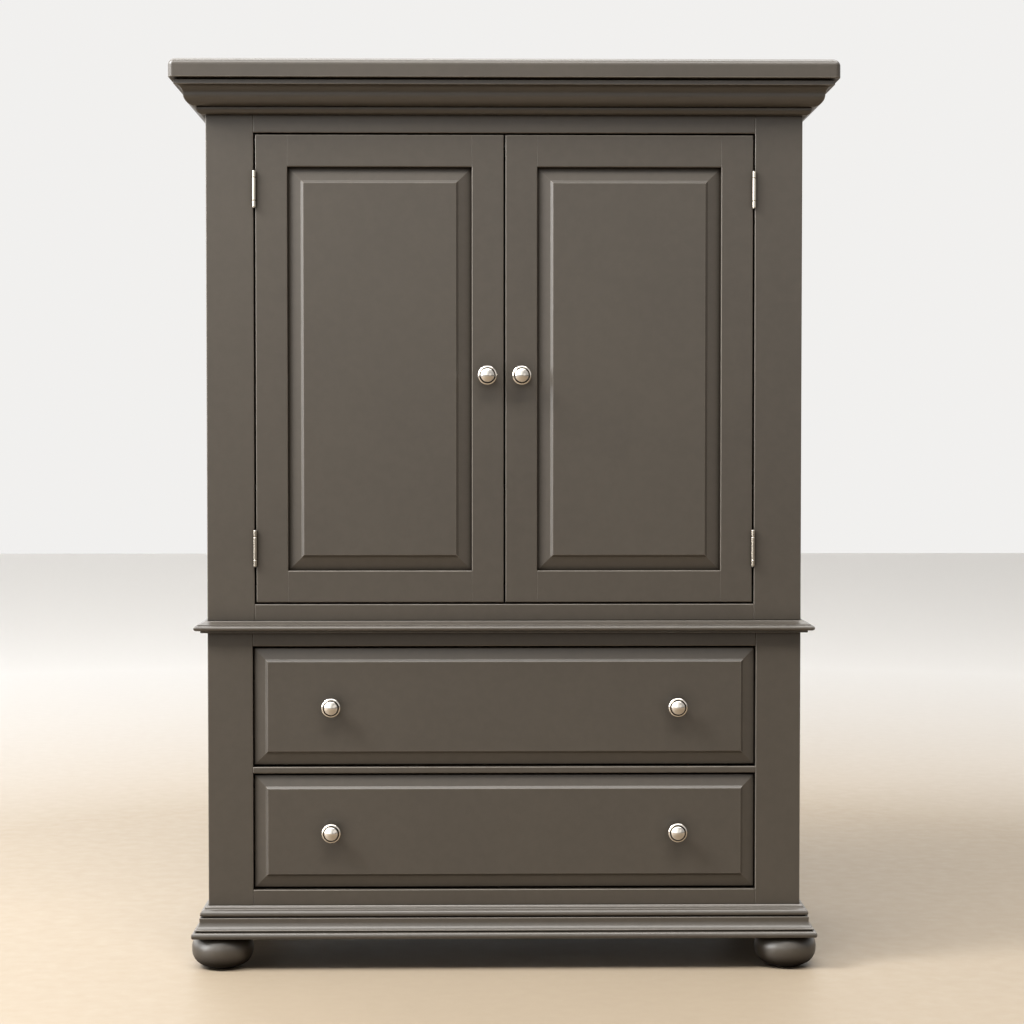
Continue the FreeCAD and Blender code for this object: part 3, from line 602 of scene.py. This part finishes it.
def build_top_board():
    """The top: a straight edge that rolls over into the flat, with a broken lower arris."""
    low, high = corners("top_board")
    out, thick = high[0] - HALF, high[2] - low[2]
    outline = [[(out - 1.0, 0)], [(out, 1.0)]]
    for step in range(TOP_ROLL_STEPS + 1):
        angle = math.pi / 2 * step / TOP_ROLL_STEPS
        point = (out - TOP_ROLL_IN * (1 - math.cos(angle)), thick - TOP_ROLL_DOWN * (1 - math.sin(angle)))
        outline.append([point])
    make("top_board_slab", slab(outline, low[2], TOP_CORNER), "panel", ["top_board"])


def build_waist_board():
    """From below: a step, a full bullnose, a quirk, and a slope dished up to the upper case."""
    low, high = corners("waist_board")
    thick = high[2] - low[2]
    outline = [
        [(10.6, 0)],
        [(11, 0.4)],
        [(11, 3.4)],
        [(11.4, 3.9)],
        [(17.2, 3.9)],
        [(21.6, 8.2), (17.4, 12.3)],
        [(15.9, 12.4)],
        [(15.5, 13.0)],
        [(15.9, 13.9)],
        [(15.2, 14.5)],
        [(10.2, 16.1), (4.6, thick - 0.7)],
        [(4.0, thick)],
    ]
    make("waist_board_slab", slab(outline, low[2]), "moulding", ["waist_board"])


def build_crown():
    """From below: an ovolo, a step, a cyma that is hollow above, and a plain fillet."""
    low, high = corners("crown_front")
    tall = high[2] - low[2]
    fillet = tall - 10.6
    outline = [
        [(6.6, 0)],
        [(7.2, 0.3)],
        [(11.9, 3.7), (13.5, 10.4)],
        [(13.3, 11.3), (12.6, 11.7)],
        [(12.4, 12.3)],
        [(17.4, 12.4)],
        [(28.9, 18.6), (33.2, 31.6)],
        [(36.1, 39.8), (43.2, fillet - 0.2)],
        [(46.6, fillet)],
        [(47.3, fillet + 0.7)],
        [(47.3, tall - 3.4)],
        [(46.9, tall - 3.0)],
        [(42.0, tall - 2.8)],
        [(42.0, tall)],
    ]
    build_moulding("crown", outline)


def build_base():
    """From below: a torus, a quirk, a bead and a cove, a fillet, a groove, a round, a cove and a bead."""
    outline = [
        [(24.6, 0)],
        [(25.4, 0.3)],
        [(26.9, 5.2), (23.8, 10.3)],
        [(19.2, 10.8)],
        [(19.2, 12.4)],
        [(21.6, 12.9)],
        [(21.4, 14.6), (20.0, 15.4)],
        [(15.4, 20.8), (14.2, 28.6)],
        [(14.2, 32.6)],
        [(13.9, 33.5), (12.9, 33.9)],
        [(8.4, 34.1)],
        [(8.4, 36.7)],
        [(12.5, 36.9)],
        [(13.0, 37.6)],
        [(12.4, 43.2), (8.6, 46.3)],
        [(7.4, 46.7)],
        [(6.4, 47.6), (6.0, 48.9)],
        [(5.4, 50.6), (3.8, 51.4)],
        [(2.8, 52.6)],
        [(2.4, 53.0)],
    ]
    build_moulding("base", outline)


# Feet

def build_feet():
    """Bun feet on a shallow turned pad."""
    for node in [name for name in frame["nodes"] if name.startswith("foot_") and name != "foot_bolts"]:
        low, high = corners(node)
        x, y = (low[0] + high[0]) / 2, (low[1] + high[1]) / 2
        belly, tall = (high[0] - low[0]) / 2, high[2]
        outline = [
            [(0, 0)],
            [(24.5, 0)],
            [(25.3, 0.8)],
            [(25.3, 2.0)],
            [(26.6, 2.7)],
            [(46.6, 13.2), (belly, 30.4)],
            [(51.2, 43.5), (42, tall - 0.6)],
            [(40, tall)],
            [(0, tall)],
        ]
        shape = turn_on(trace(outline), lambda u, v, h: (x + u, y + v, h))
        make(node + "_bun", shape, "moulding", [node])


# Doors

PANEL_TONGUE = 8.0
TONGUE_THICK = 6.0
GROOVE_DEPTH = 9.0
TENON = 8.5
PANEL_CHAMFER = 4.2
PANEL_BORDER = 27.0


def door_opening(prefix):
    """The opening between the stiles as (left, right), and its groove's front and back."""
    low, high = corners(f"{prefix}_panel")
    return (low[0] + PANEL_TONGUE, high[0] - PANEL_TONGUE), (high[1] - TONGUE_THICK, high[1])


def build_door_stiles(prefix, outer, inner):
    """The stiles run the full height, and their inner arrises stop where the rails meet them."""
    opening, groove_depths = door_opening(prefix)
    floor_low, floor_high = opening[0] - GROOVE_DEPTH, opening[1] + GROOVE_DEPTH
    rails = []
    for part in ("bottom_rail", "top_rail"):
        low, high = corners(f"{prefix}_{part}")
        rails.append((low[2], high[2]))
    for part, grooved in (("hinge_stile", inner), ("meeting_stile", outer)):
        node = f"{prefix}_{part}"
        low, high = corners(node)
        floor = floor_low if grooved == "high" else floor_high
        arrises = (ARRIS, rails) if grooved == "high" else (rails, ARRIS)
        groove = (grooved, floor, *groove_depths)
        make(node + "_board", bar("z", low, high, *arrises, ARRIS, DOOR_SEAM, groove), "paint", [node])


def build_door_rails(prefix):
    """The rails fill the opening's width, and their tenons sit in the stiles' grooves."""
    opening, groove_depths = door_opening(prefix)
    for part, grooved in (("bottom_rail", "high"), ("top_rail", "low")):
        node = f"{prefix}_{part}"
        low, high = corners(node)
        low[0], high[0] = opening
        floor = high[2] - GROOVE_DEPTH if grooved == "high" else low[2] + GROOVE_DEPTH
        groove = (grooved, floor, *groove_depths)
        shape = bar("x", low, high, ARRIS, ARRIS, DOOR_SEAM, DOOR_SEAM, groove, tenon=TENON)
        make(node + "_board", shape, "paint", [node])


def build_door_panel(prefix):
    """A tongue in the groove, a bevelled border, a chamfer and a flat raised field."""
    low, high = corners(f"{prefix}_panel")
    face, back = low[1], high[1]
    groove_front = back - TONGUE_THICK
    rise_end = PANEL_TONGUE + PANEL_BORDER - PANEL_CHAMFER
    profile = [
        (0.4, back),
        (0, back - 0.4),
        (0, groove_front + 0.3),
        (0.3, groove_front),
        (PANEL_TONGUE + 0.6, groove_front),
        (rise_end - 0.5, face + 3.1),
        (rise_end, face + 2.8),
        (PANEL_TONGUE + PANEL_BORDER - 0.6, face + 0.35),
        (PANEL_TONGUE + PANEL_BORDER - 0.1, face + 0.08),
        (PANEL_TONGUE + PANEL_BORDER + 0.8, face),
    ]
    make(f"{prefix}_raised_panel", raised(low, high, profile), "panel", [f"{prefix}_panel"], PANEL_CREASE)


def build_door(prefix, outer, inner):
    build_door_stiles(prefix, outer, inner)
    build_door_rails(prefix)
    build_door_panel(prefix)


# Drawers

FRONT_BORDER = 24.0
FRONT_EDGE = 7.0


def build_drawer_front(prefix):
    """The front: a bevelled border that rises to a chamfer, and a flat field."""
    low, high = corners(f"{prefix}_front")
    face, back = low[1], high[1]
    edge = face + FRONT_EDGE
    profile = [
        (0.8, back),
        (0, back - 0.8),
        (0, edge + 1.8),
        (0.25, edge + 0.85),
        (0.85, edge + 0.2),
        (1.7, edge - 0.18),
        (FRONT_BORDER - 4.4, face + 3.0),
        (FRONT_BORDER - 3.9, face + 2.7),
        (FRONT_BORDER - 0.6, face + 0.35),
        (FRONT_BORDER - 0.1, face + 0.08),
        (FRONT_BORDER + 0.8, face),
    ]
    make(f"{prefix}_raised_front", raised(low, high, profile), "panel", [f"{prefix}_front"], PANEL_CREASE)


# Hardware

def knob_shape(x, z):
    """A turned knob: foot, waisted neck, rolled rim, a quirk and a low domed cap."""
    outline = [
        [(0, 0)],
        [(8.4, 0)],
        [(8.4, 1.3)],
        [(8.1, 2.1), (7.2, 2.4)],
        [(5.6, 3.4), (5.0, 6.0)],
        [(5.0, 10.0)],
        [(6.2, 14.2), (10.5, 16.4)],
        [(14.9, 17.3), (16.5, 20.0)],
        [(15.8, 22.3), (13.9, 23.2)],
        [(13.4, 22.8)],
        [(13.0, 20.6)],
        [(12.4, 20.2), (11.8, 20.8)],
        [(11.7, 24.4)],
        [(11.3, 25.9), (10.1, 26.8)],
        [(5.4, 29.1), (0, 30)],
    ]
    return turn_on(trace(outline), lambda u, v, h: (x + u, FACE - h, z + v))


def build_knobs():
    for node in [name for name in frame["nodes"] if "knob" in name]:
        low, high = corners(node)
        radius = (high[2] - low[2]) / 2
        places = sorted({low[0] + radius, high[0] - radius})
        if places[-1] - places[0] < 1:
            places = places[:1]
        level = (low[2] + high[2]) / 2
        make(node + "_turned", join([knob_shape(x, level) for x in places]), "nickel", [node])


# Hinges: the sizes that their leaves, knuckles and pins share

HINGE_LENGTH = 61.5
HINGE_MIDDLE = 38.5
KNUCKLE_RADIUS = 3.4
KNUCKLE_BORE = 1.65
KNUCKLE_GAP = 0.3
KNUCKLE_ROUND = 1.1
PIN_RADIUS = 1.6
PIN_HEAD = 1.3
PIN_HEAD_RADIUS = 3.0
LEAF_THICK = 1.3
LEAF_GAP = 0.4
LEAF_RELIEF = 0.5
LEAF_SCREWS = (-22.0, 0.0, 22.0)
SCREW_RADIUS = 3.1
SCREW_PROUD = 0.12


def hinge_places(side):
    """The hinge axis as (x, y), and the height of each hinge's middle."""
    pin_low, pin_high = corners("hinge_pins")
    half = PIN_HEAD + HINGE_LENGTH / 2
    axis = (side * (pin_high[0] - PIN_HEAD_RADIUS), (pin_low[1] + pin_high[1]) / 2)
    return axis, (pin_low[2] + half, pin_high[2] - half)


def hinge_knuckle(axis, low, high):
    """One rolled knuckle, with rounded ends and a bore for the pin."""
    x, y = axis
    shoulder = KNUCKLE_RADIUS - KNUCKLE_ROUND
    lean = KNUCKLE_ROUND * (1 - math.sqrt(0.5))
    outline = [
        [(KNUCKLE_BORE, low)],
        [(shoulder, low)],
        [(KNUCKLE_RADIUS - lean, low + lean), (KNUCKLE_RADIUS, low + KNUCKLE_ROUND)],
        [(KNUCKLE_RADIUS, high - KNUCKLE_ROUND)],
        [(KNUCKLE_RADIUS - lean, high - lean), (shoulder, high)],
        [(KNUCKLE_BORE, high)],
    ]
    return turn_on(trace(outline), lambda u, v, h: (x + u, y + v, h), loop=True)


def leaf_screw(axis, away, middle_y, level):
    """A countersunk head in a leaf, a touch proud, with a recess in its middle."""
    outline = [
        [(0, -0.02)],
        [(0.7, 0.0)],
        [(1.2, SCREW_PROUD - 0.02)],
        [(1.4, SCREW_PROUD)],
        [(2.7, SCREW_PROUD - 0.02)],
        [(SCREW_RADIUS, 0.02)],
        [(SCREW_RADIUS, -0.3)],
        [(0, -0.3)],
    ]
    face = axis[0] + away * LEAF_GAP / 2
    return turn_on(trace(outline), lambda u, v, h: (face - away * h, middle_y + u, level + v))


def hinge_leaf(axis, away, back, level, knuckles):
    """A leaf on one side of the axis: its plate, its screws, and its knuckles with their webs."""
    x, y = axis
    near, far = sorted((x + away * LEAF_GAP / 2, x + away * (LEAF_GAP / 2 + LEAF_THICK)))
    front = y + KNUCKLE_RADIUS + LEAF_RELIEF
    half = HINGE_LENGTH / 2
    shapes = [block((near, front, level - half), (far, back, level + half), 0.15)]
    for low, high in knuckles:
        shapes.append(hinge_knuckle(axis, level + low, level + high))
        web = (near, y + KNUCKLE_RADIUS - 1.0, level + low + KNUCKLE_ROUND)
        shapes.append(block(web, (far, front + 0.2, level + high - KNUCKLE_ROUND), 0.05))
    for place in LEAF_SCREWS:
        shapes.append(leaf_screw(axis, away, (front + back) / 2, level + place))
    return join(shapes)


def hinge_pin(axis, level):
    """A pin through all three knuckles, with a low domed head at each end."""
    x, y = axis
    half = HINGE_LENGTH / 2
    outline = [
        [(0, -half - PIN_HEAD)],
        [(1.8, -half - PIN_HEAD + 0.3), (PIN_HEAD_RADIUS, -half - 0.4)],
        [(PIN_HEAD_RADIUS, -half)],
        [(PIN_RADIUS, -half)],
        [(PIN_RADIUS, half)],
        [(PIN_HEAD_RADIUS, half)],
        [(PIN_HEAD_RADIUS, half + 0.4)],
        [(1.8, half + PIN_HEAD - 0.3), (0, half + PIN_HEAD)],
    ]
    return turn_on(trace(outline), lambda u, v, h: (x + u, y + v, level + h))


def build_hinges():
    middle, end = HINGE_MIDDLE / 2, HINGE_LENGTH / 2
    outer = ((-end, -middle - KNUCKLE_GAP), (middle + KNUCKLE_GAP, end))
    frame_back = corners("hinge_frame_leaves")[1][1]
    frame_leaves, pins = [], []
    for name, side in (("left", -1), ("right", 1)):
        node = f"{name}_door_hinge_leaves"
        axis, levels = hinge_places(side)
        door_back = corners(node)[1][1]
        door_leaves = [hinge_leaf(axis, -side, door_back, level, [(-middle, middle)]) for level in levels]
        make(f"{node}_rolled", join(door_leaves), "satin_nickel", [node])
        frame_leaves += [hinge_leaf(axis, side, frame_back, level, outer) for level in levels]
        pins += [hinge_pin(axis, level) for level in levels]
    make("hinge_frame_leaves_rolled", join(frame_leaves), "satin_nickel", ["hinge_frame_leaves"])
    make("hinge_pins_headed", join(pins), "satin_nickel", ["hinge_pins"])


# Studio

WINDOW = Vector((-0.88, -0.36, 0.30)).normalized()
WINDOW_GLOW = 6.5
CEILING_GLOW = 5.8
BACKDROP = 0.88
BASE_GLOW = 0.02


def room_reflection(tree, direction, parts):
    """What glossy rays meet: a room brighter on the left, its window, and a band near the ceiling."""
    upper_half = remap(tree, parts["Z"], -0.08, 0.12, 0.0, 1.0)
    room = arithmetic(tree, "MULTIPLY", upper_half, remap(tree, parts["X"], 0.35, -0.7, 0.55, 2.7))
    towards = add(tree, "ShaderNodeVectorMath", {0: direction, 1: WINDOW}, operation="DOT_PRODUCT")
    window = remap(tree, towards.outputs["Value"], 0.93, 0.96, 0.0, WINDOW_GLOW)
    room = arithmetic(tree, "ADD", room, window)
    rise = remap(tree, parts["Z"], 0.78, 0.85, 0.0, CEILING_GLOW)
    fall = remap(tree, parts["Z"], 0.92, 0.98, 1.0, 0.0)
    return arithmetic(tree, "ADD", room, arithmetic(tree, "MULTIPLY", rise, fall))


def build_world():
    """A pale backdrop for the camera, a room for reflections, and weak light from above and behind."""
    world = bpy.data.worlds.new("studio")
    world.use_nodes = True
    tree = world.node_tree
    background = tree.nodes["Background"]
    direction = add(tree, "ShaderNodeTexCoord", {}).outputs["Generated"]
    parts = add(tree, "ShaderNodeSeparateXYZ", {"Vector": direction}).outputs
    path = add(tree, "ShaderNodeLightPath", {}).outputs
    above = remap(tree, parts["Z"], 0.35, 1.0, 0.0, 0.35)
    behind = remap(tree, parts["Y"], 0.0, 0.8, 0.0, 0.4)
    mirrored = arithmetic(tree, "MULTIPLY", path["Is Glossy Ray"], room_reflection(tree, direction, parts))
    glow = arithmetic(tree, "ADD", arithmetic(tree, "ADD", above, behind), mirrored)
    glow = arithmetic(tree, "ADD", glow, BASE_GLOW)
    feed(tree, background.inputs["Strength"], remap(tree, path["Is Camera Ray"], 0.0, 1.0, glow, BACKDROP))
    background.inputs["Color"].default_value = (1.0, 0.99, 0.975, 1)
    bpy.context.scene.world = world


FLOOR_REACH = 14.0
FLOOR_NEAR = (0.33, 0.265, 0.19, 1)
FLOOR_NEAR_CLOUD = (0.355, 0.285, 0.205, 1)
FLOOR_FAR = (0.86, 0.83, 0.79, 1)
FLOOR_BOUNCE = (0.20, 0.155, 0.108, 1)


def floor_inputs(tree):
    """A plain warm floor, paler far off. Rays that aren't the camera's meet a darker tone, FLOOR_BOUNCE."""
    place = add(tree, "ShaderNodeTexCoord", {}).outputs["Object"]
    distance = add(tree, "ShaderNodeVectorMath", {0: place}, operation="LENGTH").outputs["Value"]
    near = blend(tree, noise(tree, 2.0), FLOOR_NEAR, FLOOR_NEAR_CLOUD)
    tone = blend(tree, remap(tree, distance, 1.6, 5.0, 0.0, 1.0), near, FLOOR_FAR)
    seen = add(tree, "ShaderNodeLightPath", {}).outputs["Is Camera Ray"]
    tone = blend(tree, seen, FLOOR_BOUNCE, tone)
    return {"Base Color": tone, "Roughness": remap(tree, noise(tree, 30.0), 0.3, 0.7, 0.5, 0.6)}


def build_floor():
    mesh = bpy.data.meshes.new("floor")
    edge = [(x * FLOOR_REACH, y * FLOOR_REACH, 0) for x, y in ((-1, -1), (1, -1), (1, 1), (-1, 1))]
    mesh.from_pydata(edge, [], [(0, 1, 2, 3)])
    floor = bpy.data.objects.new("floor", mesh)
    bpy.context.scene.collection.objects.link(floor)
    mesh.materials.append(surface("pale_floor", floor_inputs))


LIGHT_AIM = Vector((0, -0.24, 0.85))


def lamp(name, towards, distance, shape, width, depth, power, colour, mirrored=True):
    """An area light in one direction from the object, turned to face it, that paint may mirror or not."""
    light = bpy.data.lights.new(name, "AREA")
    light.shape = shape
    light.size = width
    light.size_y = depth
    light.energy = power
    light.color = colour
    holder = bpy.data.objects.new(name, light)
    holder.location = LIGHT_AIM + Vector(towards).normalized() * distance
    holder.rotation_euler = Vector(towards).to_track_quat("Z", "Y").to_euler()
    holder.visible_glossy = mirrored
    bpy.context.scene.collection.objects.link(holder)


def build_lights():
    """A soft key from high on the left, a broad bank overhead and in front, and a faint warm fill."""
    lamp("key", (-0.75, -0.32, 0.70), 4.5, "DISK", 2.0, 2.0, 300, (0.965, 0.98, 1.0))
    lamp("bank", (-0.05, -0.60, 1.00), 7.0, "RECTANGLE", 6.5, 2.0, 580, (1.0, 0.985, 0.97), mirrored=False)
    lamp("fill", (0.50, -0.80, 0.18), 4.2, "DISK", 2.2, 2.2, 6, (1.0, 0.93, 0.86))


def build_camera():
    camera = bpy.data.cameras.new("camera")
    camera.lens = 78.78
    camera.sensor_width = 36.0
    view = bpy.data.objects.new("camera", camera)
    view.location = (-0.04, -4.04, 0.9)
    view.rotation_euler = (math.radians(90 - 1.796), 0, math.radians(-0.793))
    bpy.context.scene.collection.objects.link(view)
    bpy.context.scene.camera = view
    bpy.context.scene.view_settings.view_transform = "Standard"


build_camera()
build_world()
build_floor()
build_lights()
build_face_frames()
build_top_board()
build_crown()
build_waist_board()
build_base()
build_feet()
build_door("left_door", "low", "high")
build_door("right_door", "high", "low")
build_drawer_front("upper_drawer")
build_drawer_front("lower_drawer")
build_knobs()
build_hinges()

finish_cad_nodes()
